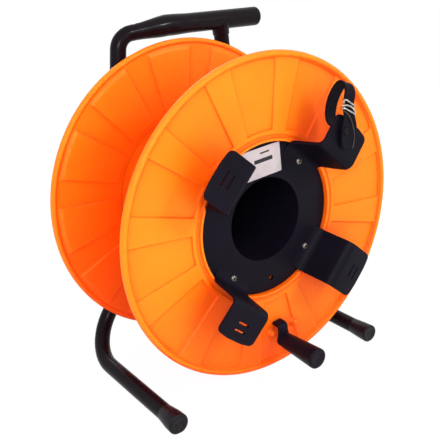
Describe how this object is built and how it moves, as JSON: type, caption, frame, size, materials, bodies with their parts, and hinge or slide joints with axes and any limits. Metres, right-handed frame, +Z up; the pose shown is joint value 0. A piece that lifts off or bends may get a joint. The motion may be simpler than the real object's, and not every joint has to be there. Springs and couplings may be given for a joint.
{
  "type": "cable reel",
  "caption": "Cable reel: orange flanged drum with black hub, bracket arms and crank, turning on a stub axle in a bent steel tube carrying frame.",
  "frame": {"origin": "on the floor, in the middle of the overall box", "axes": "+X to the right across the drum, +Y from the open front of the drum to the carrying frame at the back, +Z up"},
  "size_m": [0.38, 0.2676, 0.42],
  "materials": {
    "orange_plastic": "moulded, satin",
    "black_plastic": "moulded, satin",
    "black_paint": "semi-gloss powder coat",
    "black_rubber": "smooth",
    "steel": "zinc plated"
  },
  "bodies": {
    "frame": {"frame_tube_left": "black_paint", "frame_tube_right": "black_paint", "axle_bracket": "black_paint", "axle": "steel", "axle_nut": "black_paint", "handle_grip": "black_rubber", "foot_cap_left": "black_rubber", "foot_cap_right": "black_rubber"},
    "drum": {"front_flange": "orange_plastic", "rear_flange": "orange_plastic", "drum_core": "orange_plastic", "hub_plate": "black_plastic", "hub_cup": "black_plastic", "hub_bearing": "black_plastic", "arm_upper_right": "black_plastic", "arm_upper_left": "black_plastic", "arm_lower_left": "black_plastic", "arm_lower_right": "black_plastic", "strap": "black_rubber", "strap_buckle": "steel", "crank_lever": "black_plastic", "crank_pin": "steel"},
    "crank_grip": {"crank_grip": "black_plastic"}
  },
  "joints": [
    {"name": "drum_spin", "type": "hinge", "parent": "frame", "child": "drum", "pos_m": [0, 0, 0.2025], "axis": [0, 1, 0], "continuous": true},
    {"name": "grip_spin", "type": "hinge", "parent": "drum", "child": "crank_grip", "pos_m": [0.01495, 0, 0.04722], "axis": [0, 1, 0], "continuous": true}
  ]
}
